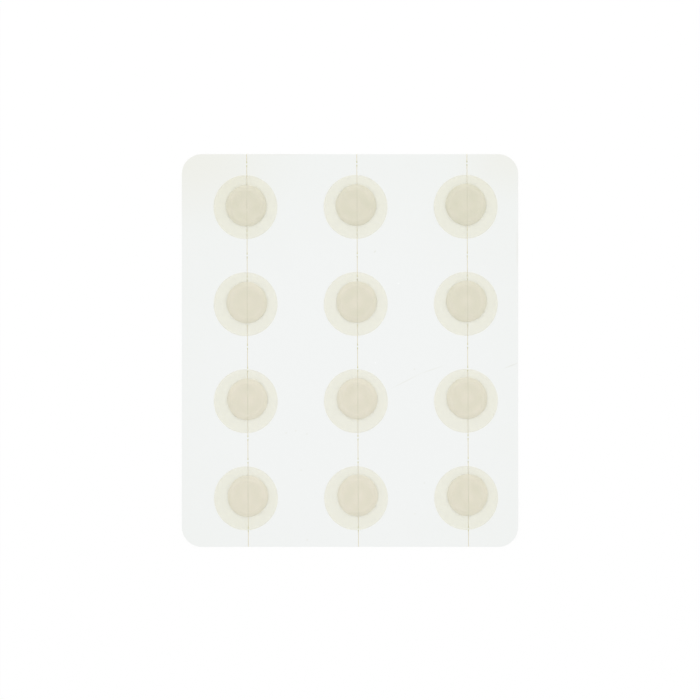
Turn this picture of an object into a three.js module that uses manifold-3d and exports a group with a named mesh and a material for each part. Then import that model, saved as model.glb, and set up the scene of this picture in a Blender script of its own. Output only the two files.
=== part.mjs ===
// Sheet of acne patches: twelve round two-layer patches on one perforated release liner.
//
// Each patch is a gel core that lies on the liner and a wider cover film that lies over the core. The core
// is a flat disc whose edge is rounded off over a wide band, and the film follows it: flat on the liner all
// round its rim, up over the core's rounded edge and closed over the core's top.
//
// Units are millimetres. The sheet lies on its back with +Z up, +X to its right and +Y towards its top
// edge. The origin is the middle of the sheet's underside.

import * as THREE from "three";
import { mergeVertices } from "three/addons/utils/BufferGeometryUtils.js";
import Module from "manifold-3d";

const wasm = await Module();
wasm.setup();

// Patch: core, film and the room that the film leaves round the core
const CORE_DIAMETER = 7.94;
const CORE_THICKNESS = 0.4;
const CORE_SIDE_HEIGHT = 0.1;
const CORE_EDGE_RUN = 0.95;
const CORE_CLEARANCE = 0.15;
const FILM_THICKNESS = 0.1;
const FILM_RING_WIDTH = 2.03;

// Pattern of patches on the sheet, and how far the film cuts landed off the sheet's middle
const PATCH_COLUMNS = 3;
const PATCH_ROWS = 4;
const COLUMN_GAP = 8.69;
const ROW_GAP = 6.24;
const PATTERN_SHIFT_X = 1.09;
const PATTERN_SHIFT_Y = -0.38;
const PATTERN_TURN = THREE.MathUtils.degToRad(0.1);

// Cores lie a little off the film cuts, as on a real web-fed sheet: shifted, turned and drawn together
const CORE_SHIFT_X = 0.21;
const CORE_SHIFT_Y = 0.4;
const CORE_TURN = THREE.MathUtils.degToRad(0.23);
const CORE_PITCH_LOSS = 0.0028;

// Release liner
const LINER_THICKNESS = 0.15;
const LINER_CORNER_RADIUS = 3.75;
const SIDE_MARGIN = 4.91;
const END_MARGIN = 3.54;

// Perforated lines: long through cuts with short uncut ties between them, one line to a column
const CUT_WIDTH = 0.08;
const CUT_LENGTH = 3.99;
const TIE_LENGTH = 0.3;
const LINE_SHIFT_X = 0.34;
const LINE_SHIFT_Y = 1.15;
const LINE_TURN = THREE.MathUtils.degToRad(0.14);

// How finely round edges are faceted, and how close two corners are to count as one
const PATCH_SEGMENTS = 36;
const EDGE_SEGMENTS = 3;
const CORNER_SEGMENTS = 8;
const WELD_DISTANCE = 1e-5;

// Sizes that follow from the ones above
const filmDiameter = CORE_DIAMETER + 2 * FILM_RING_WIDTH;
const columnPitch = filmDiameter + COLUMN_GAP;
const rowPitch = filmDiameter + ROW_GAP;
const linerWidth = (PATCH_COLUMNS - 1) * columnPitch + filmDiameter + 2 * SIDE_MARGIN;
const linerLength = (PATCH_ROWS - 1) * rowPitch + filmDiameter + 2 * END_MARGIN;
const coreTop = LINER_THICKNESS + CORE_THICKNESS;

// Materials
const linerPaper = new THREE.MeshStandardMaterial({ color: "#f3f4f3", roughness: 0.55, metalness: 0 });
const clearFilm = new THREE.MeshStandardMaterial({ color: "#ecebe0", roughness: 0.4, metalness: 0 });
const gel = new THREE.MeshStandardMaterial({ color: "#e1dcc9", roughness: 0.5, metalness: 0 });

// Joining and cutting: a closed geometry becomes a solid, and a solid becomes a geometry again

function toSolid(geometry) {
  const bare = geometry.clone();
  bare.deleteAttribute("normal");
  bare.deleteAttribute("uv");
  const merged = mergeVertices(bare, WELD_DISTANCE);
  return new wasm.Manifold(new wasm.Mesh({
    numProp: 3,
    vertProperties: new Float32Array(merged.attributes.position.array),
    triVerts: new Uint32Array(merged.index.array),
  }));
}

function toGeometry(solid) {
  const mesh = solid.getMesh();
  const geometry = new THREE.BufferGeometry();
  geometry.setAttribute("position", new THREE.BufferAttribute(mesh.vertProperties, 3));
  geometry.setIndex(new THREE.BufferAttribute(mesh.triVerts, 1));
  geometry.computeVertexNormals();
  return geometry;
}

// A round body about +Z from [radius, height] corners, which start and end on the axis and run outwards
// along the bottom, up and back inwards along the top
function roundBody(corners) {
  const profile = corners.map(([radius, height]) => new THREE.Vector2(radius, height));
  const geometry = new THREE.LatheGeometry(profile, PATCH_SEGMENTS);
  geometry.rotateX(Math.PI / 2);
  return geometry;
}

// Corners of a rounded edge, which starts straight up at the outer radius and the bottom height and leans
// over to the level: a quarter of an ellipse, run wide and rise high
function roundedEdge(outerRadius, bottom, run, rise) {
  return Array.from({ length: EDGE_SEGMENTS + 1 }, (_, step) => {
    const angle = (step / EDGE_SEGMENTS) * (Math.PI / 2);
    return [outerRadius - run * (1 - Math.cos(angle)), bottom + rise * Math.sin(angle)];
  });
}

// Places on the sheet

function rotated(x, y, angle) {
  return new THREE.Vector2(x, y).rotateAround(new THREE.Vector2(0, 0), angle);
}

// Middle of the patch pattern's cell, counted from the pattern's own middle, before any turn
function cell(row, column) {
  return {
    x: (column - (PATCH_COLUMNS - 1) / 2) * columnPitch,
    y: ((PATCH_ROWS - 1) / 2 - row) * rowPitch,
  };
}

function filmCentre(row, column) {
  const { x, y } = cell(row, column);
  return rotated(x, y, PATTERN_TURN).add(new THREE.Vector2(PATTERN_SHIFT_X, PATTERN_SHIFT_Y));
}

function coreCentre(row, column) {
  const { x, y } = cell(row, column);
  const kept = 1 - CORE_PITCH_LOSS;
  return rotated(x * kept, y * kept, PATTERN_TURN + CORE_TURN)
    .add(new THREE.Vector2(PATTERN_SHIFT_X + CORE_SHIFT_X, PATTERN_SHIFT_Y + CORE_SHIFT_Y));
}

// Release liner: a card-thin rectangle with round corners, cut through along the perforated lines

function linerOutline() {
  const right = linerWidth / 2;
  const top = linerLength / 2;
  const r = LINER_CORNER_RADIUS;
  const outline = new THREE.Shape();
  outline.moveTo(right, r - top);
  outline.absarc(right - r, top - r, r, 0, Math.PI / 2);
  outline.absarc(r - right, top - r, r, Math.PI / 2, Math.PI);
  outline.absarc(r - right, r - top, r, Math.PI, 1.5 * Math.PI);
  outline.absarc(right - r, r - top, r, 1.5 * Math.PI, 2 * Math.PI);
  return outline;
}

// The cuts of all lines. They repeat up and down the liner from a tie near its middle, as far as the
// liner reaches, so the first and the last cut of a line run out through the liner's edge.
function perforationCuts() {
  const period = CUT_LENGTH + TIE_LENGTH;
  const reach = Math.ceil(linerLength / 2 / period) + 1;
  const angle = PATTERN_TURN + LINE_TURN;
  const cuts = [];
  for (let column = 0; column < PATCH_COLUMNS; column += 1) {
    for (let step = -reach; step < reach; step += 1) {
      const along = (step + 0.5) * period;
      const centre = rotated(cell(0, column).x, along, angle);
      const cut = new THREE.BoxGeometry(CUT_WIDTH, CUT_LENGTH, 3 * LINER_THICKNESS);
      cut.rotateZ(angle);
      cut.translate(
        centre.x + PATTERN_SHIFT_X + LINE_SHIFT_X,
        centre.y + PATTERN_SHIFT_Y + LINE_SHIFT_Y,
        LINER_THICKNESS / 2,
      );
      cuts.push(toSolid(cut));
    }
  }
  return cuts;
}

function linerGeometry() {
  const sheet = new THREE.ExtrudeGeometry(linerOutline(), {
    depth: LINER_THICKNESS,
    bevelEnabled: false,
    curveSegments: CORNER_SEGMENTS,
  });
  return toGeometry(perforationCuts().reduce((liner, cut) => liner.subtract(cut), toSolid(sheet)));
}

// Gel core: a flat disc on the liner, with a low straight side and a wide rounded upper edge. The pocket
// that the core lies in has the same section, larger all round by the clearance.

function coreSection(clearance, foot) {
  const radius = CORE_DIAMETER / 2 + clearance;
  const sideTop = LINER_THICKNESS + CORE_SIDE_HEIGHT;
  return [
    [0, foot],
    [radius, foot],
    ...roundedEdge(radius, sideTop, CORE_EDGE_RUN, coreTop - sideTop),
    [0, coreTop],
  ];
}

function coreGeometry() {
  return roundBody(coreSection(0, LINER_THICKNESS));
}

// Cover film: a flat disc on the liner, joined to a crown over the core, less the pocket for the core. The
// crown and the pocket follow the core's place, not the film's own outline. The pocket is cut from below
// the film's underside.

function filmGeometry(coreOffset) {
  const crownRadius = CORE_DIAMETER / 2 + CORE_CLEARANCE + FILM_THICKNESS;
  const ringTop = LINER_THICKNESS + FILM_THICKNESS;

  const disc = roundBody([
    [0, LINER_THICKNESS],
    [filmDiameter / 2, LINER_THICKNESS],
    [filmDiameter / 2, ringTop],
    [0, ringTop],
  ]);
  const crown = roundBody([
    [0, LINER_THICKNESS],
    [crownRadius, LINER_THICKNESS],
    ...roundedEdge(crownRadius, ringTop, CORE_EDGE_RUN, CORE_THICKNESS),
    [0, coreTop + FILM_THICKNESS],
  ]);
  const pocket = roundBody(coreSection(CORE_CLEARANCE, 0));
  crown.translate(coreOffset.x, coreOffset.y, 0);
  pocket.translate(coreOffset.x, coreOffset.y, 0);
  return toGeometry(toSolid(disc).add(toSolid(crown)).subtract(toSolid(pocket)));
}

// The sheet

function namedMesh(name, geometry, material) {
  const mesh = new THREE.Mesh(geometry, material);
  mesh.name = name;
  return mesh;
}

function patch(row, column) {
  const place = `r${row + 1}c${column + 1}`;
  const film = filmCentre(row, column);
  const coreOffset = coreCentre(row, column).sub(film);

  const cover = namedMesh(`cover_film_${place}`, filmGeometry(coreOffset), clearFilm.clone());
  const core = namedMesh(`gel_core_${place}`, coreGeometry(), gel.clone());
  core.position.set(coreOffset.x, coreOffset.y, 0);

  const pair = new THREE.Group();
  pair.position.set(film.x, film.y, 0);
  pair.add(core, cover);
  return pair;
}

const patchSheet = new THREE.Group();
patchSheet.add(namedMesh("liner", linerGeometry(), linerPaper));
for (let row = 0; row < PATCH_ROWS; row += 1) {
  for (let column = 0; column < PATCH_COLUMNS; column += 1) {
    patchSheet.add(patch(row, column));
  }
}

export default patchSheet;
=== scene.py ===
# %% [markdown]
# # A sheet of acne patches
#
# The object is one thin sheet: a white release liner with twelve round patches stuck to it. Each patch is a
# disc of cloudy gel under a wider clear film. Three perforated lines run the length of the liner, so that it
# can be bent open behind a column of patches and the patches peel off.
#
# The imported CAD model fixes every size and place. The pieces are worked out in millimetres with numpy, and
# become metres when they are put into a mesh.

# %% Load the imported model
import math

import bpy
import numpy as np
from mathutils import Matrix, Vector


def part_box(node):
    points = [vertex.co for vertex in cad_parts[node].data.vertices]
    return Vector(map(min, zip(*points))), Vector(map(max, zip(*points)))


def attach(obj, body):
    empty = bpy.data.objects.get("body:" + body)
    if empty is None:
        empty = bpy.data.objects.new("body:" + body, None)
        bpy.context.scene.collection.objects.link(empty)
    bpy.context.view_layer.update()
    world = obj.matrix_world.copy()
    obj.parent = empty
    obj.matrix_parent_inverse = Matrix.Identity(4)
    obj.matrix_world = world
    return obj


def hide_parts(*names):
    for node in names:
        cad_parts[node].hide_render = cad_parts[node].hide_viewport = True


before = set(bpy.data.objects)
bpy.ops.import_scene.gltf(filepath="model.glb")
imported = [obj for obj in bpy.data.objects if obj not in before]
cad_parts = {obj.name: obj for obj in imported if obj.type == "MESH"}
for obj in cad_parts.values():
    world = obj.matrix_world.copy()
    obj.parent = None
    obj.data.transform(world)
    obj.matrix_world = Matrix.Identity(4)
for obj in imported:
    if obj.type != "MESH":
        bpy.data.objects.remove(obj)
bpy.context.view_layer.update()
print("nodes in the packed model:", len(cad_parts))

# %% [markdown]
# ## Places and sizes
#
# A round node's box gives its middle and its radius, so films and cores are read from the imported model. The
# perforated lines are only gaps in the liner node, so their few numbers are written out here as in the CAD.

# %% Sizes that the whole lesson uses
MM = 0.001
ROWS = 4
COLUMNS = 3
PATCHES = [f"r{row + 1}c{column + 1}" for row in range(ROWS) for column in range(COLUMNS)]

LINER_THICKNESS = 0.15
CORE_THICKNESS = 0.4
CORE_SIDE_HEIGHT = 0.1
EDGE_RUN = 0.95
FILM_THICKNESS = 0.1

LINE_PITCH = 20.69
LINE_MIDDLE = (1.43, 0.77)
LINE_TURN = math.radians(0.24)
TIE_PITCH = 4.29
TIE_LENGTH = 0.3


def disc_of(node):
    """Middle and radius of a round node in millimetres: the middle of its box, and half the box's width."""
    low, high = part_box(node)
    middle = np.array([low.x + high.x, low.y + high.y]) / 2
    return middle / MM, (high.x - low.x) / 2 / MM


liner_low, liner_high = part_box("liner")
HALF_WIDTH = liner_high.x / MM
HALF_LENGTH = liner_high.y / MM
print(f"liner {2 * HALF_WIDTH:.1f} by {2 * HALF_LENGTH:.1f} mm")
print("first core:", disc_of("gel_core_r1c1"))

# %% [markdown]
# ## Camera
#
# The sheet is seen from straight above. A long lens, well away from the sheet, shows no sides of the thin
# pieces, as in a catalogue picture. The distance comes from the width that the picture has to take in.

# %% Camera straight above the sheet
LENS = 100
SENSOR = 36
PICTURE_WIDTH = 131.58
PICTURE_MIDDLE = (0.0, 0.094)

camera_data = bpy.data.cameras.new("camera")
camera_data.lens = LENS
camera_data.sensor_width = SENSOR
camera_data.clip_start = 0.01
camera = bpy.data.objects.new("camera", camera_data)
bpy.context.scene.collection.objects.link(camera)
camera_distance = PICTURE_WIDTH * LENS / SENSOR
camera.location = (
    PICTURE_MIDDLE[0] * MM,
    PICTURE_MIDDLE[1] * MM,
    (camera_distance + LINER_THICKNESS) * MM,
)
bpy.context.scene.camera = camera
bpy.context.scene.view_settings.view_transform = "Standard"
print(f"camera {camera_distance:.1f} mm above the liner")

# %% [markdown]
# ## A short way to write nodes
#
# Materials, the world and the floor are all node trees. These helpers add one node each. An input is given
# either a plain value or another node's output, and the helper makes the link where it is an output.


# %% Node helpers
def add_node(tree, kind, inputs=None, **properties):
    """Adds a node, sets its properties, and gives each named or numbered input a value or a link."""
    node = tree.nodes.new(kind)
    for name, value in properties.items():
        setattr(node, name, value)
    for name, value in (inputs or {}).items():
        if isinstance(value, bpy.types.NodeSocket):
            tree.links.new(value, node.inputs[name])
        else:
            node.inputs[name].default_value = value
    return node


def calculate(tree, operation, *values):
    """Output of a Math node that works on up to three values or outputs."""
    inputs = dict(enumerate(values))
    return add_node(tree, "ShaderNodeMath", inputs, operation=operation).outputs[0]


def smooth_step(tree, value, start, end):
    """Output that goes smoothly from 0 where value is start to 1 where value is end."""
    inputs = {"Value": value, "From Min": start, "From Max": end}
    node = add_node(tree, "ShaderNodeMapRange", inputs, interpolation_type="SMOOTHSTEP")
    return node.outputs["Result"]


def seen_directly(tree):
    """Output that is 1 for rays from the camera, a gloss or glass, and 0 for scattered light."""
    path = add_node(tree, "ShaderNodeLightPath").outputs
    plain = calculate(tree, "MAXIMUM", path["Is Camera Ray"], path["Is Glossy Ray"])
    return calculate(tree, "MAXIMUM", plain, path["Is Transmission Ray"])


print("node helpers ready")

# %% [markdown]
# ## Light
#
# White light comes evenly from all round, with a little more from a wide soft lamp beyond the top edge of
# the sheet. The lamp is what shows the rounded edges of the cores: lit towards the top of the picture and
# shaded towards the bottom. Together they give a level of about 1, so a colour renders as it is written.
# Real gel and film pass light on through their edges, so the lamp throws no shadow. The sky still does.

# %% Even light from all round
SKY_LEVEL = 0.865

world = bpy.data.worlds.new("even_light")
world.use_nodes = True
bpy.context.scene.world = world
sky = world.node_tree
sky_level = calculate(sky, "MULTIPLY_ADD", seen_directly(sky), 1 - SKY_LEVEL, SKY_LEVEL)
sky.links.new(sky_level, sky.nodes["Background"].inputs["Strength"])
sky.nodes["Background"].inputs["Color"].default_value = (1, 1, 1, 1)
print("sky level", SKY_LEVEL)

# %% Soft lamp beyond the top edge
LAMP_POWER = 21
LAMP_PLACE = (0.0, 2.2, 2.4)
LAMP_SIZE = 1.8

lamp_data = bpy.data.lights.new("soft_lamp", "AREA")
lamp_data.energy = LAMP_POWER
lamp_data.shape = "DISK"
lamp_data.size = LAMP_SIZE
lamp_data.use_shadow = False
lamp = bpy.data.objects.new("soft_lamp", lamp_data)
lamp.location = LAMP_PLACE
lamp.rotation_euler = (-math.atan2(LAMP_PLACE[1], LAMP_PLACE[2]), 0, 0)
bpy.context.scene.collection.objects.link(lamp)
print("lamp power", LAMP_POWER)

# %% [markdown]
# ## Putting points into a mesh
#
# Every piece is a closed skin. A round piece is a stack of rings: the rings start near the middle of its
# top, go outwards and down its rim, and come back to the middle underneath. One point closes each end.


# %% Mesh helpers
SHARP_FROM = math.radians(35)


def add_piece(name, points, faces, materials):
    """Mesh object at the origin from points in millimetres and faces given as lists of point numbers."""
    mesh = bpy.data.meshes.new(name)
    mesh.from_pydata((points * MM).tolist(), [], faces)
    for material in materials:
        mesh.materials.append(material)
    mesh.shade_smooth()
    mesh.set_sharp_from_angle(angle=SHARP_FROM)
    piece = bpy.data.objects.new(name, mesh)
    bpy.context.scene.collection.objects.link(piece)
    return piece


def ring_faces(ring_count, ring_size):
    """Faces of a stack of rings whose points are numbered ring by ring, with a point for each end last.

    Between two rings, corner k of one ring, corner k of the next, and the two corners k + 1 make a square.
    """
    corner = np.arange(ring_size)
    following = np.roll(corner, -1)
    here = np.arange(ring_count - 1)[:, None] * ring_size
    squares = np.stack(
        [here + corner, here + ring_size + corner, here + ring_size + following, here + following],
        axis=-1,
    ).reshape(-1, 4)
    last = (ring_count - 1) * ring_size
    top = np.full(ring_size, ring_count * ring_size)
    caps = np.concatenate(
        [
            np.stack([top, corner, following], axis=-1),
            np.stack([top + 1, last + following, last + corner], axis=-1),
        ]
    )
    return squares.tolist() + caps.tolist()


def set_attribute(piece, name, values):
    """Stores one number for each point of a piece, for its material to read."""
    attribute = piece.data.attributes.new(name, "FLOAT", "POINT")
    attribute.data.foreach_set("value", np.asarray(values, dtype=np.float32).ravel())


def mesh_volume(piece):
    """Volume in cubic millimetres, which is above zero only where the faces point outwards."""
    mesh = piece.data
    mesh.calc_loop_triangles()
    corners = np.empty(len(mesh.loop_triangles) * 3, dtype=np.int32)
    mesh.loop_triangles.foreach_get("vertices", corners)
    points = np.empty(len(mesh.vertices) * 3)
    mesh.vertices.foreach_get("co", points)
    a, b, c = points.reshape(-1, 3)[corners.reshape(-1, 3)].transpose(1, 0, 2) / MM
    return float(np.einsum("ij,ij->i", a, np.cross(b, c)).sum() / 6)


print("mesh helpers ready")

# %% [markdown]
# ## Floor
#
# The sheet lies on a plain white floor. The floor takes part of its brightness from itself where it is seen,
# so that it stays white to the edges of the picture, and part from the light, so that it keeps the shadow
# of the sheet.

# %% White floor
FLOOR_OWN_LIGHT = 0.75
FLOOR_DROP = 0.02
FLOOR_HALF = 1500.0

floor_material = bpy.data.materials.new("white_floor")
floor_material.use_nodes = True
floor_tree = floor_material.node_tree
floor_tree.nodes.clear()
lit = add_node(floor_tree, "ShaderNodeBsdfDiffuse", {"Color": (1, 1, 1, 1)})
own = add_node(floor_tree, "ShaderNodeEmission", {"Color": (1, 1, 1, 1), "Strength": 1.0})
share = calculate(floor_tree, "MULTIPLY", seen_directly(floor_tree), FLOOR_OWN_LIGHT)
floor_mix = add_node(
    floor_tree, "ShaderNodeMixShader", {0: share, 1: lit.outputs[0], 2: own.outputs[0]}
)
add_node(floor_tree, "ShaderNodeOutputMaterial", {"Surface": floor_mix.outputs[0]})

floor_corners = np.array([[-1, -1, 0], [1, -1, 0], [1, 1, 0], [-1, 1, 0]]) * FLOOR_HALF
floor_corners = floor_corners - [0, 0, FLOOR_DROP]
floor = add_piece("white_floor", floor_corners, [[0, 1, 2, 3]], [floor_material])
print("floor", 2 * FLOOR_HALF, "mm wide")

# %% [markdown]
# ## How the sheet lies
#
# Thin paper never lies quite flat. A small lift, at most a few hundredths of a millimetre, is added to every
# piece by its place, so that the patches follow the liner. Small waves of a few random directions do the
# same for a single film or core.


# %% Lift of the sheet and small waves
def ease(t):
    """Smooth step: 3t² - 2t³ with t held between 0 and 1."""
    t = np.clip(t, 0, 1)
    return t * t * (3 - 2 * t)


def sheet_lift(x, y):
    """Height in millimetres that the sheet stands off the floor: two crossing waves, and raised corners."""
    waves = 2 + np.sin(x / 9.0 + 0.6) * np.cos(y / 13.0) + np.cos(y / 8.0 - x / 21.0)
    corners = ease((np.hypot(x / HALF_WIDTH, y / HALF_LENGTH) - 0.95) / 0.45)
    return 0.008 * waves + 0.05 * corners


def small_waves(x, y, seed, length, height):
    """Sum of six waves of about one length in seeded directions, scaled so that it rarely passes height."""
    draw = np.random.default_rng(seed)
    direction = draw.uniform(0, 2 * math.pi, 6)
    number = 2 * math.pi / (length * draw.uniform(0.75, 1.4, 6))
    start = draw.uniform(0, 2 * math.pi, 6)
    along = np.multiply.outer(x, np.cos(direction)) + np.multiply.outer(y, np.sin(direction))
    return height / 2.5 * np.sin(along * number + start).sum(axis=-1)


print("lift at the middle:", round(float(sheet_lift(0.0, 0.0)), 4), "mm")

# %% [markdown]
# ## Release liner: the paper
#
# Siliconised release paper is a very even white with a low sheen. Close up it has a faint cloudiness and
# fine fibres. The paper is painted lighter in the middle and darker towards the edges, as painted light and
# shade. Its top corners are a little cream, and there are a few specks, darker bands along part of the right
# side and the top, and the painted shade of one faint crease. The walls of the perforations and the cut edge
# show the raw paper inside, which is warmer, so they get a material of their own, with painted shade at the
# ends of each cut.


# %% Paper materials
def new_material(name, **sockets):
    """Material with a Principled shader whose sockets take the given plain values."""
    material = bpy.data.materials.new(name)
    material.use_nodes = True
    shader = material.node_tree.nodes["Principled BSDF"]
    for socket, value in sockets.items():
        shader.inputs[socket.replace("_", " ")].default_value = value
    return material, material.node_tree, shader


def object_place(tree):
    """Output with the place on the object, in metres."""
    return add_node(tree, "ShaderNodeTexCoord").outputs["Object"]


def grain(tree, place, size, detail=2.0, stretch=(1, 1, 1), turn=0.0):
    """Noise whose spots are about size millimetres wide, stretched and turned in the plane of the sheet."""
    mapping = add_node(
        tree,
        "ShaderNodeMapping",
        {"Vector": place, "Scale": stretch, "Rotation": (0, 0, turn)},
    )
    inputs = {"Vector": mapping.outputs[0], "Scale": 1 / (size * MM), "Detail": detail}
    return add_node(tree, "ShaderNodeTexNoise", inputs).outputs["Fac"]


def blend_colours(tree, share, first, second):
    """Colour that goes from first to second as share goes from 0 to 1."""
    node = add_node(tree, "ShaderNodeMix", {0: share, 6: first, 7: second}, data_type="RGBA")
    return node.outputs[2]


def raise_surface(tree, shader, height, depth, strength=1.0):
    """Joins a Bump node to the shader, where depth is the height of a full step in millimetres."""
    inputs = {"Height": height, "Distance": depth * MM, "Strength": strength}
    bump = add_node(tree, "ShaderNodeBump", inputs)
    tree.links.new(bump.outputs[0], shader.inputs["Normal"])


def near_point(tree, place, x, y, reach_x, reach_y, turn=0.0):
    """Output that is 1 at a point of the sheet and falls smoothly to 0 at an oval round it.

    The oval reaches so many millimetres each way, and is turned by so many degrees.
    """
    mapping = add_node(
        tree,
        "ShaderNodeMapping",
        {
            "Vector": place,
            "Location": (x * MM, y * MM, 0),
            "Rotation": (0, 0, math.radians(turn)),
            "Scale": (reach_x * MM, reach_y * MM, 1),
        },
        vector_type="TEXTURE",
    )
    length = add_node(tree, "ShaderNodeVectorMath", {0: mapping.outputs[0]}, operation="LENGTH")
    return smooth_step(tree, length.outputs["Value"], 1.0, 0.0)


PAPER_WHITE = (0.884, 0.900, 0.893, 1)
PAPER_SHADE_AND_CLOUD = (0.868, 0.886, 0.868, 1)
PAPER_CREAM = (0.852, 0.855, 0.800, 1)
PAPER_DUST_AND_SHADE = (0.78, 0.78, 0.72, 1)
PAPER_BRIGHT = (0.97, 0.98, 0.98, 1)
PAPER_INSIDE = (0.95, 0.85, 0.37, 1)
PAPER_END_SHADE = (0.72, 0.70, 0.32, 1)
STREAK_SHADE = 0.86

# Painted light: the sheet is painted lightest about this middle and shaded towards its edges, given as its
# middle and its reach across and along
PAINTED_LIGHT_MIDDLE = (1, -9, 50, 56)

# Cream patches at the top corners as place, reach across and along, and share
CREAM_CORNERS = [(-30, 36, 23, 16, 0.85), (31, 36, 14, 10, 0.7)]

# Painted shade of a faint crease in three parts, a fibre, dust, and darker bands along part of the right side
# and along the top, each as place, reach both ways, turn in degrees, and share
DUST_AND_CREASE_SHADE_MARKS = [
    (10.4, -5.8, 4.2, 0.16, 27, 0.45),
    (15.4, -3.6, 3.4, 0.16, 19, 0.4),
    (30.4, -2.8, 2.2, 0.18, 21, 0.6),
    (4.7, 18.6, 0.42, 0.17, 45, 0.9),
    (-12.0, -15.5, 0.3, 0.25, 20, 0.5),
    (-10.2, -15.1, 0.35, 0.22, 70, 0.4),
    (-8.1, -15.7, 0.3, 0.3, 0, 0.4),
    (12.1, -3.5, 0.3, 0.22, 30, 0.5),
    (-9.2, -22.5, 0.28, 0.25, 0, 0.5),
    (14.0, -24.9, 0.3, 0.2, 120, 0.5),
    (12.2, -30.7, 0.3, 0.25, 10, 0.4),
    (-8.0, -35.6, 0.35, 0.25, 15, 0.5),
    (31.5, 19.2, 0.5, 6.5, 0, 0.3),
    (-13.2, 36.9, 9.0, 0.4, 0, 0.25),
]
BRIGHT_MARKS = [(9.1, 12.6, 0.28, 0.2, 30, 0.9), (4.8, -2.3, 0.3, 0.2, 100, 0.9)]


def liner_paper():
    """Paper with painted light in the middle and painted shade at the edges, cream top corners, clouds,
    fibres and marks.
    """
    material, tree, shader = new_material("liner_paper", Roughness=0.5)
    place = object_place(tree)
    # Painted light: lighter about the middle of the sheet, with painted shade towards its edges
    middle = near_point(tree, place, *PAINTED_LIGHT_MIDDLE)
    clouds = grain(tree, place, 7.0, detail=3.0)
    fibres = grain(tree, place, 0.35, detail=3.0, stretch=(1, 0.35, 1), turn=0.5)
    lighter = calculate(tree, "MULTIPLY_ADD", clouds, 0.5, middle)
    lighter = calculate(tree, "MULTIPLY_ADD", fibres, 0.35, lighter)
    colour = blend_colours(tree, smooth_step(tree, lighter, 0.2, 1.2), PAPER_SHADE_AND_CLOUD, PAPER_WHITE)
    for x, y, reach_x, reach_y, share in CREAM_CORNERS:
        cream_patch = near_point(tree, place, x, y, reach_x, reach_y)
        cream_patch = calculate(tree, "MULTIPLY", cream_patch, calculate(tree, "MULTIPLY_ADD", clouds, 0.8, 0.6))
        colour = blend_colours(tree, calculate(tree, "MULTIPLY", cream_patch, share), colour, PAPER_CREAM)
    # Dust, a fibre, darker bands at the right side and top, the painted shade of a crease, and bright marks
    for marks, mark_colour in [(DUST_AND_CREASE_SHADE_MARKS, PAPER_DUST_AND_SHADE), (BRIGHT_MARKS, PAPER_BRIGHT)]:
        for x, y, reach_x, reach_y, turn, share in marks:
            mark = near_point(tree, place, x, y, reach_x, reach_y, turn)
            colour = blend_colours(tree, calculate(tree, "MULTIPLY", mark, share), colour, mark_colour)
    tree.links.new(colour, shader.inputs["Base Color"])
    raise_surface(tree, shader, fibres, 0.004)
    return material


def along_lines(tree, place):
    """Outputs with the distance to the nearest perforated line and, along it, to the nearest tie, in metres.

    The place is turned into the direction of the lines. Going back and forth over half a pitch gives each
    distance.
    """
    turned = add_node(
        tree,
        "ShaderNodeMapping",
        {
            "Vector": place,
            "Location": (LINE_MIDDLE[0] * MM, LINE_MIDDLE[1] * MM, 0),
            "Rotation": (0, 0, LINE_TURN),
        },
        vector_type="TEXTURE",
    )
    axes = add_node(tree, "ShaderNodeSeparateXYZ", {0: turned.outputs[0]}).outputs
    aside = calculate(tree, "PINGPONG", axes["X"], LINE_PITCH / 2 * MM)
    return aside, calculate(tree, "PINGPONG", axes["Y"], TIE_PITCH / 2 * MM)


def cut_paper():
    """Raw paper of a cut wall: warm and streaked in the lines, with painted shade in their torn ends, pale
    elsewhere.
    """
    material, tree, shader = new_material("cut_paper", Roughness=0.9)
    place = object_place(tree)
    streaks = grain(tree, place, 0.25, detail=2.0, stretch=(1, 1, 0.2))
    darker = tuple(value * STREAK_SHADE for value in PAPER_INSIDE[:3]) + (1,)
    colour = blend_colours(tree, streaks, darker, PAPER_INSIDE)
    aside, from_tie = along_lines(tree, place)
    on_line = smooth_step(tree, aside, 0.3 * MM, 0.2 * MM)
    colour = blend_colours(tree, on_line, PAPER_CREAM, colour)
    # Painted shade: the walls are painted darker in the widened ends of each cut, beside the ties
    end_shade = calculate(tree, "MULTIPLY", on_line, smooth_step(tree, from_tie, 0.6 * MM, 0.4 * MM))
    colour = blend_colours(tree, end_shade, colour, PAPER_END_SHADE)
    tree.links.new(colour, shader.inputs["Base Color"])
    return material


paper = [liner_paper(), cut_paper()]
print("paper materials:", [material.name for material in paper])

# %% [markdown]
# ## Release liner: the sheet
#
# The liner is a grid of stations across and along it. The stations lie close together beside the perforated
# lines and in the round corners, and further apart elsewhere. Squares of the grid that fall inside a cut are
# left out, and walls join the top grid to the bottom grid round every opening and round the outside. The die
# presses the paper down a little beside each cut, and the cut is wider at its mouth than underneath.

# %% Stations of the grid
CORNER_RADIUS = 3.75
MOUTH_HALF = 0.045
FOOT_HALF = 0.015
FLARE = 0.04
PRESSED_DEPTH = 0.01
EDGE_ROLL = 0.006
WIDEST_STEP_ACROSS = 1.3
WIDEST_STEP_ALONG = 0.9


def fill_gaps(stations, widest):
    """Sorted stations, with evenly spaced ones added wherever two are further apart than widest."""
    stations = np.unique(np.round(stations, 6))
    steps = np.maximum(1, np.ceil(np.diff(stations) / widest)).astype(int)
    pairs = zip(stations[:-1], stations[1:], steps)
    filled = [np.linspace(start, end, count, endpoint=False) for start, end, count in pairs]
    return np.concatenate([*filled, stations[-1:]])


def tie_distance(along):
    """Distance in millimetres to the middle of the nearest uncut tie of a line."""
    return np.abs((along + TIE_PITCH / 2) % TIE_PITCH - TIE_PITCH / 2)


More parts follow.
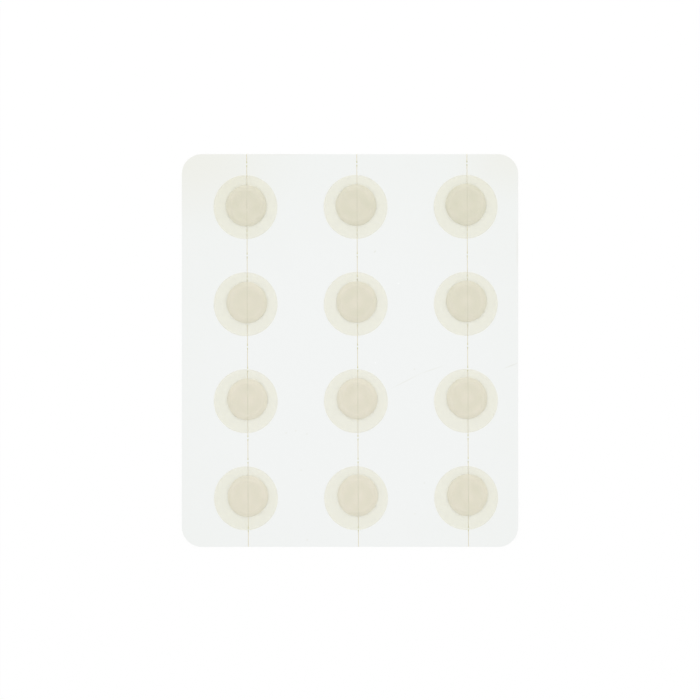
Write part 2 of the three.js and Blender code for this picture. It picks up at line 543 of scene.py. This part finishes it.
line_places = LINE_MIDDLE[0] + LINE_PITCH * np.array([-1, 0, 1])
beside_line = MOUTH_HALF + np.array([0, 0.03, 0.08, 0.2, 0.5])
corner_steps = np.sin(np.linspace(0, math.pi / 2, 13))
corner_places = HALF_WIDTH - CORNER_RADIUS + CORNER_RADIUS * corner_steps
across = fill_gaps(
    np.concatenate(
        [
            np.add.outer(line_places, np.concatenate([-beside_line, beside_line])).ravel(),
            corner_places,
            -corner_places,
        ]
    ),
    WIDEST_STEP_ACROSS,
)
# The two sides of a cut's mouth are neighbours, with no station between them
across = across[np.abs(np.subtract.outer(across, line_places)).min(axis=1) > MOUTH_HALF - 0.001]

tie_middles = LINE_MIDDLE[1] + TIE_PITCH * np.arange(-9, 10)
beside_tie = np.array([0.15, 0.2, 0.28, 0.4, 0.6])
tie_marks = np.add.outer(tie_middles, np.concatenate([-beside_tie, [0], beside_tie])).ravel()
tie_marks = tie_marks[np.abs(tie_marks) < HALF_LENGTH - 0.1]
end_marks = HALF_LENGTH - np.array([0, 0.03, 0.07])
along = fill_gaps(np.concatenate([tie_marks, end_marks, -end_marks]), WIDEST_STEP_ALONG)
print(len(across), "stations across,", len(along), "along")


# %% Shape of the liner
def liner_points(upper):
    """Points of the liner's upper or lower face, in millimetres, as a grid (across, along, 3).

    A station's place along is stretched to the outline, which is a rectangle with round corners. Then the
    grid is turned with the perforated lines, by an angle that fades out towards the edges. The upper face
    drops beside the cuts and at the outline, each over a few hundredths of a millimetre. A cut is wider at
    its two ends, beside the ties, where the corners of the blade's teeth tear the paper.
    """
    p, q = np.meshgrid(across, along, indexing="ij")
    into_corner = np.clip(np.abs(p) - (HALF_WIDTH - CORNER_RADIUS), 0, CORNER_RADIUS)
    reach = HALF_LENGTH - CORNER_RADIUS + np.sqrt(CORNER_RADIUS**2 - into_corner**2)
    from_line = np.subtract.outer(across, line_places)
    nearest = np.abs(from_line).argmin(axis=1)
    side = np.take_along_axis(from_line, nearest[:, None], axis=1)
    beside = ease(1 - (np.abs(side) - MOUTH_HALF) / 0.2)
    from_tie = tie_distance(q - LINE_MIDDLE[1])
    widening = FLARE * ease((0.55 - from_tie) / 0.2) * ease((from_tie - TIE_LENGTH / 2) / 0.05)
    if not upper:
        widening = FOOT_HALF - MOUTH_HALF
    moved = p + np.sign(side) * beside * widening

    turn = math.sin(LINE_TURN)
    turn_across = turn * (1 - ease((np.abs(p) - 23.5) / 4))
    turn_along = turn * (1 - ease((np.abs(q) - 35.3) / 1.5))
    x = moved - q * turn_across
    y = q / HALF_LENGTH * reach + (p - LINE_MIDDLE[0]) * turn_along

    in_x = np.maximum(np.abs(x) - (HALF_WIDTH - CORNER_RADIUS), 0)
    in_y = np.maximum(np.abs(y) - (HALF_LENGTH - CORNER_RADIUS), 0)
    from_edge = np.maximum(CORNER_RADIUS - np.hypot(in_x, in_y), 0)
    z = sheet_lift(x, y)
    if upper:
        pressed = ease((from_tie - TIE_LENGTH / 4) / (TIE_LENGTH / 4))
        z = z + LINER_THICKNESS - PRESSED_DEPTH * beside**2 * pressed
        z = z - EDGE_ROLL * np.clip(1 - from_edge / 0.06, 0, 1) ** 2
    return np.stack([x, y, z], axis=-1)


def liner_faces():
    """Faces of the liner, and for each face 0 for the paper's face or 1 for a cut wall.

    A square is kept unless it lies between the two sides of a line and outside a tie. Where a kept square
    has no neighbour, its side gets a wall from the lower grid to the upper one.
    """
    number = np.arange(len(across) * len(along)).reshape(len(across), len(along))
    lower = number.size
    middle_across = (across[:-1] + across[1:]) / 2
    middle_along = (along[:-1] + along[1:]) / 2
    in_line = np.abs(np.subtract.outer(middle_across, line_places)).min(axis=1) < MOUTH_HALF / 2
    in_cut = tie_distance(middle_along - LINE_MIDDLE[1]) > TIE_LENGTH / 2
    kept = ~np.logical_and.outer(in_line, in_cut)

    a, b = number[:-1, :-1], number[1:, :-1]
    c, d = number[1:, 1:], number[:-1, 1:]
    top = np.stack([a, b, c, d], axis=-1)[kept]
    room = np.pad(kept, 1)
    open_sides = [
        (a, b, ~room[1:-1, :-2]),
        (b, c, ~room[2:, 1:-1]),
        (c, d, ~room[1:-1, 2:]),
        (d, a, ~room[:-2, 1:-1]),
    ]
    walls = []
    for start, end, is_open in open_sides:
        here = kept & is_open
        first, second = start[here], end[here]
        walls.append(np.stack([first + lower, second + lower, second, first], axis=-1))
    walls = np.concatenate(walls)
    faces = np.concatenate([top, top[:, ::-1] + lower, walls])
    is_wall = np.zeros(len(faces), dtype=np.int32)
    is_wall[-len(walls) :] = 1
    return faces, is_wall


# %% Build the liner
liner_grid = np.concatenate([liner_points(True).reshape(-1, 3), liner_points(False).reshape(-1, 3)])
faces, is_wall = liner_faces()
liner = add_piece("release_liner", liner_grid, faces.tolist(), paper)
liner.data.polygons.foreach_set("material_index", is_wall)
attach(liner, "root")
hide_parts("liner")
print(len(faces), "faces, volume", round(mesh_volume(liner), 1), "cubic mm")

# %% [markdown]
# ## Gel: the material
#
# The gel is hydrocolloid: cloudy, yellowish and a little springy, so paper and perforations show through it
# faintly. Real glass-like transmission would be slow and noisy in so thin a disc. A shader that is partly
# see-through all over gives the same look, since what lies behind is only paper. The tone of each core
# changes a little from its middle to its rim, and this is stored on its points. Near the rim the darker tone
# is painted shade of the rounded edge. Over the cuts the gel is painted darker, as painted shade of the cut
# below.


# %% Over which cuts a place lies, for painted shade
def painted_cut_shade(tree, place, half_width):
    """Output that is 1 over the cuts of a perforated line and 0 elsewhere, for the painted shade of the cuts.
    """
    aside, from_tie = along_lines(tree, place)
    beside = smooth_step(tree, aside, half_width * 1.6 * MM, half_width * 0.4 * MM)
    open_part = smooth_step(tree, from_tie, TIE_LENGTH * 0.3 * MM, TIE_LENGTH * 0.7 * MM)
    return calculate(tree, "MULTIPLY", beside, open_part)


GEL_LIGHT = (0.969, 0.908, 0.866, 1)
GEL_DARK = (0.769, 0.771, 0.669, 1)
GEL_CUT_SHADE = (0.77, 0.76, 0.62, 1)
GEL_CUT_HALF = 0.09
GEL_CLOUDINESS = 0.12


def cloudy_gel():
    """Cloudy yellowish gel: the stored tone and fine clouds choose between a dark and a light colour, with
    painted shade over the cuts.
    """
    material, tree, shader = new_material("cloudy_gel", Roughness=0.42, IOR=1.42, Alpha=0.85)
    place = object_place(tree)
    tone = add_node(tree, "ShaderNodeAttribute", attribute_name="tone").outputs["Fac"]
    clouds = calculate(tree, "SUBTRACT", grain(tree, place, 1.1, detail=3.0), 0.5)
    tone = calculate(tree, "MULTIPLY_ADD", clouds, GEL_CLOUDINESS, tone)
    colour = blend_colours(tree, tone, GEL_DARK, GEL_LIGHT)
    # Painted shade: the gel is painted darker over the open cuts, for the shade in the cut below
    colour = blend_colours(tree, painted_cut_shade(tree, place, GEL_CUT_HALF), colour, GEL_CUT_SHADE)
    tree.links.new(colour, shader.inputs["Base Color"])
    raise_surface(tree, shader, grain(tree, place, 0.5), 0.004)
    return material


gel = cloudy_gel()
print("gel material:", gel.name)

# %% [markdown]
# ## Gel: the cores
#
# A core is a disc whose upper edge is rounded off over a wide band, as pressed gel is. Its section starts at
# the middle of the top, slopes gently over a shoulder, drops over a short lip, and returns underneath.
# Cores are cut from soft sheet that is pulled lengthwise, so they are a trifle longer than wide, and their
# outline is a little uneven. Three of them have small bulges.

# %% Angles and outlines
RING_POINTS = 128
LIP_STEPS = 5
SHOULDER_DROP = 0.18
LIP_RUN = 0.03
OVAL = 0.043
angles = np.arange(RING_POINTS) * 2 * math.pi / RING_POINTS
AIR = 0.005
CORE_TOP = LINER_THICKNESS + CORE_THICKNESS

# Where an outline bulges: direction in degrees, height in millimetres and width in degrees
BULGES = {
    "r1c3": [(270, 0.12, 16)],
    "r3c3": [(330, 0.10, 12)],
    "r4c3": [(52, 0.13, 12), (247, 0.10, 12)],
}


def seed_of(place, kind):
    """Whole number that is different for every patch and every kind of draw."""
    return 100 * PATCHES.index(place) + kind


def uneven(place):
    """How far a core's outline stands out at each angle: a few low waves, an oval, and its bulges.

    The oval is a wave that goes twice round, low across the sheet and high along it. A bulge is a bell curve.
    """
    draw = np.random.default_rng(seed_of(place, 1))
    counts = np.array([2, 3, 4, 6, 9, 13])
    heights = draw.uniform(0.3, 1.0, 6) * np.array([0.022, 0.018, 0.014, 0.010, 0.007, 0.005])
    starts = draw.uniform(0, 2 * math.pi, 6)
    out = (np.cos(np.multiply.outer(angles, counts) + starts) * heights).sum(axis=-1)
    out = out - OVAL * np.cos(2 * angles)
    for direction, height, width in BULGES.get(place, []):
        off = (np.degrees(angles) - direction + 180) % 360 - 180
        out = out + height * np.exp(-((off / width) ** 2))
    return out


def rounded_edge(radius, bottom, rise, count):
    """Radii and heights down an edge, from the level top to straight down at the radius.

    The shoulder drops with the power 1.5 of the way over it, so its slope grows slowly. The lip below it is a
    quarter of an ellipse, short and steep.
    """
    way = np.linspace(0, 1, count)
    t = np.linspace(math.pi / 2, 0, LIP_STEPS)[1:]
    top = bottom + rise
    shoulder_radii = radius - EDGE_RUN + (EDGE_RUN - LIP_RUN) * way
    shoulder_heights = top - SHOULDER_DROP * way**1.5
    lip_radii = radius - LIP_RUN * (1 - np.cos(t))
    lip_heights = bottom + (rise - SHOULDER_DROP) * np.sin(t)
    return np.append(shoulder_radii, lip_radii), np.append(shoulder_heights, lip_heights)


print(len(PATCHES), "patches,", RING_POINTS, "points round each ring")


# %% One core
SHOULDER_STATIONS = 9
CORE_FLAT = np.array([0.35, 0.8, 1.3, 1.8, 2.3, 2.7])
CORE_WAVES = 0.0018
WAVY_DEPTH = 0.2


def core_section(radius):
    """Radii, heights and how much of the outline's unevenness each station takes, from top to underside."""
    side_top = LINER_THICKNESS + CORE_SIDE_HEIGHT
    rise = CORE_TOP - side_top
    edge_radii, edge_heights = rounded_edge(radius, side_top, rise, SHOULDER_STATIONS)
    foot = LINER_THICKNESS + AIR
    below_radii = [radius, radius - 0.02, radius - 0.3, radius - 1.4, 0.9]
    below_heights = [foot + 0.03, foot, foot, foot, foot]
    radii = np.concatenate([CORE_FLAT, edge_radii, below_radii])
    heights = np.concatenate([np.full(len(CORE_FLAT), CORE_TOP), edge_heights, below_heights])
    return radii, heights, ease((radii / radius - 0.6) / 0.4)


# Tone in small steps of lightness at radii from the middle, by row, for the right column, and beside a line.
# The darker steps from 3.5 mm outwards are painted shade of the rounded edge
TONE_RADII = np.array([0, 0.85, 1.4, 2.0, 2.55, 3.0, 3.5, 3.7, 3.9, 4.2])
TONE_AND_RIM_SHADE_STEPS = np.array([0.25, 0.25, -0.7, -1.1, -0.7, 0.3, -0.5, -0.9, -0.6, 0.0])
ROW_TONES = [-1.2, -0.5, 0.1, 0.1]
RIGHT_TONE = -0.5
LINE_BAND = 0.5
LINE_BAND_HALF = 0.5
LEVEL_SHARE = 0.14

# The film takes up room beside the core's side, so the core is this much smaller than the CAD's
EDGE_DRAW_IN = 0.12


def core_tone(place, radii, x, y):
    """Share of the light gel colour at each point: by radius, with painted shade near the rim, and by row,
    with seeded clouds.

    Along a perforated line the core is a little lighter, by a bell curve of the distance to the line.
    """
    row = int(place[1]) - 1
    right = RIGHT_TONE if place.endswith("c3") else 0.0
    steps = np.interp(radii, TONE_RADII, TONE_AND_RIM_SHADE_STEPS) + ROW_TONES[row] + right
    from_middle = (x - LINE_MIDDLE[0]) * math.cos(LINE_TURN) + (y - LINE_MIDDLE[1]) * math.sin(LINE_TURN)
    aside = (from_middle + LINE_PITCH / 2) % LINE_PITCH - LINE_PITCH / 2
    steps = steps + LINE_BAND * np.exp(-((aside / LINE_BAND_HALF) ** 2))
    clouds = small_waves(x, y, seed_of(place, 2), 3.2, 0.4)
    return 0.5 + LEVEL_SHARE * (steps + clouds)


def add_core(place):
    """Core of one patch, with its points ring by ring about its middle."""
    (cx, cy), radius = disc_of(f"gel_core_{place}")
    radii, heights, share = core_section(radius - EDGE_DRAW_IN)
    r = radii[:, None] + share[:, None] * uneven(place)
    x = cx + r * np.cos(angles)
    y = cy + r * np.sin(angles)
    on_top = (heights > CORE_TOP - WAVY_DEPTH)[:, None]
    z = heights[:, None] + on_top * small_waves(x, y, seed_of(place, 3), 2.4, CORE_WAVES)
    z = z + sheet_lift(x, y)
    lift = sheet_lift(cx, cy)
    ends = [[cx, cy, CORE_TOP + lift], [cx, cy, LINER_THICKNESS + AIR + lift]]
    points = np.concatenate([np.stack([x, y, z], axis=-1).reshape(-1, 3), ends])
    core = add_piece(f"patch_core_{place}", points, ring_faces(len(radii), RING_POINTS), [gel])
    tone_radii = np.concatenate([np.hypot(x - cx, y - cy).ravel(), [0, 0]])
    set_attribute(core, "tone", core_tone(place, tone_radii, points[:, 0], points[:, 1]))
    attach(core, "root")
    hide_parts(f"gel_core_{place}")
    return core


cores = [add_core(place) for place in PATCHES]
print("cores:", len(cores), "volume of the first", round(mesh_volume(cores[0]), 2), "cubic mm")

# %% [markdown]
# ## Film: the material
#
# The cover film is clear polyurethane with a satin face. It takes a faint cream tint from its adhesive, and
# this is what shows as a ring round each core. Like the gel it is partly see-through all over. Over the cuts
# it is painted darker, as painted shade of the cut below.


# %% Film material
FILM_LIGHT = (0.854, 0.817, 0.602, 1)
FILM_DARK = (0.814, 0.772, 0.542, 1)
FILM_CUT_SHADE = (0.72, 0.70, 0.58, 1)
FILM_CUT_HALF = 0.1


def clear_film():
    """Clear satin film with a cream tint that changes a little from place to place, and painted shade over
    the cuts.
    """
    material, tree, shader = new_material("clear_film", Roughness=0.3, IOR=1.5, Alpha=0.13)
    place = object_place(tree)
    colour = blend_colours(tree, grain(tree, place, 1.6, detail=3.0), FILM_DARK, FILM_LIGHT)
    # Painted shade: the film is painted darker over the open cuts, for the shade in the cut below
    colour = blend_colours(tree, painted_cut_shade(tree, place, FILM_CUT_HALF), colour, FILM_CUT_SHADE)
    tree.links.new(colour, shader.inputs["Base Color"])
    raise_surface(tree, shader, grain(tree, place, 0.8), 0.004)
    return material


film = clear_film()
print("film material:", film.name)

# %% [markdown]
# ## Film: the covers
#
# A film lies flat on the liner round its rim and rises over its core. It is one closed skin: over the crown,
# out along the ring, round the rim, back underneath, and up into the pocket that the core lies in. Rings
# near the core are centred on the core, and they widen outwards to the film's own circle, which lies a
# little off the core's middle. Pulled down over the core's side, the film is thinner there than elsewhere.

# %% One film
RIM_ROUND = 0.03
POCKET_GAP = 0.01
SIDE_FILM = 0.05
RING_TOP = LINER_THICKNESS + FILM_THICKNESS
POCKET_STATIONS = 5
FILM_FLAT = np.array([0.35, 0.9, 1.6, 2.3, 2.8])
RING_SHARE = np.array([0.05, 0.15, 0.35, 0.55, 0.75, 0.9])
FILM_WAVES = 0.006


def film_section(core_radius):
    """Stations from the crown's middle to the pocket's: radius about the core, height, share, and upper.

    The share is 0 where the radius is about the core, and 1 where it is at the film's own outline. In
    between, a point lies that share of the way from the crown's foot to the outline. Upper is true on the
    face that looks up.
    """
    crown = core_radius + POCKET_GAP + SIDE_FILM
    pocket = core_radius + POCKET_GAP
    pocket_rise = CORE_TOP + AIR - RING_TOP
    crown_radii, crown_heights = rounded_edge(crown, RING_TOP, CORE_THICKNESS, SHOULDER_STATIONS)
    pocket_radii, pocket_heights = rounded_edge(pocket, RING_TOP, pocket_rise, POCKET_STATIONS)
    foot = LINER_THICKNESS + AIR
    t = np.array([0.0, 0.35, 0.7, 1.0]) * math.pi / 2
    rim_in = np.concatenate([RIM_ROUND * (1 - np.sin(t)), [0, 0.02, 0.4, 1.2]])
    rim_heights = np.concatenate(
        [RING_TOP - RIM_ROUND * (1 - np.cos(t)), [foot + 0.02, foot, foot, foot]]
    )
    ring_radii = np.full(len(RING_SHARE), crown)
    over = np.concatenate([FILM_FLAT, crown_radii])
    under = np.concatenate([[pocket], pocket_radii[::-1], FILM_FLAT[::-1]])
    radii = np.concatenate([over, ring_radii, crown - rim_in, under])
    heights = np.concatenate(
        [
            np.full(len(FILM_FLAT), CORE_TOP + FILM_THICKNESS),
            crown_heights,
            np.full(len(RING_SHARE), RING_TOP),
            rim_heights,
            [foot],
            pocket_heights[::-1],
            np.full(len(FILM_FLAT), CORE_TOP + AIR),
        ]
    )
    share = np.concatenate([np.zeros(len(over)), RING_SHARE, np.ones(len(rim_in)), np.zeros(len(under))])
    upper = np.arange(len(radii)) < len(over) + len(RING_SHARE) + 1
    return radii, heights, share, upper


def add_film(place):
    """Cover film of one patch, centred on its core and widening to its own outline.

    With d from the core's middle to the film's, the outline is d·u + √(R² - |d|² + (d·u)²) away from the
    core's middle in direction u.
    """
    (cx, cy), core_radius = disc_of(f"gel_core_{place}")
    core_radius = core_radius - EDGE_DRAW_IN
    middle, film_radius = disc_of(f"cover_film_{place}")
    dx, dy = middle - (cx, cy)
    radii, heights, share, upper = film_section(core_radius)
    toward = dx * np.cos(angles) + dy * np.sin(angles)
    outline = toward + np.sqrt(film_radius**2 - dx**2 - dy**2 + toward**2)
    crown = core_radius + POCKET_GAP + SIDE_FILM
    near = ease((radii / core_radius - 0.6) / 0.4)[:, None] * uneven(place)
    r = (radii[:, None] + near) * (1 - share[:, None])
    r = r + share[:, None] * (radii[:, None] - crown + outline)
    between = (share > 0) & (share < 1)
    foot = crown + uneven(place)
    r = np.where(between[:, None], foot + share[:, None] * (outline - RIM_ROUND - foot), r)
    x = cx + r * np.cos(angles)
    y = cy + r * np.sin(angles)
    on_top = upper[:, None]
    z = heights[:, None] + on_top * small_waves(x, y, seed_of(place, 4), 3.5, FILM_WAVES)
    z = z + sheet_lift(x, y)
    lift = sheet_lift(cx, cy)
    ends = [[cx, cy, CORE_TOP + FILM_THICKNESS + lift], [cx, cy, CORE_TOP + AIR + lift]]
    points = np.concatenate([np.stack([x, y, z], axis=-1).reshape(-1, 3), ends])
    cover = add_piece(f"patch_film_{place}", points, ring_faces(len(radii), RING_POINTS), [film])
    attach(cover, "root")
    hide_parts(f"cover_film_{place}")
    return cover


films = [add_film(place) for place in PATCHES]
print("films:", len(films), "volume of the first", round(mesh_volume(films[0]), 2), "cubic mm")
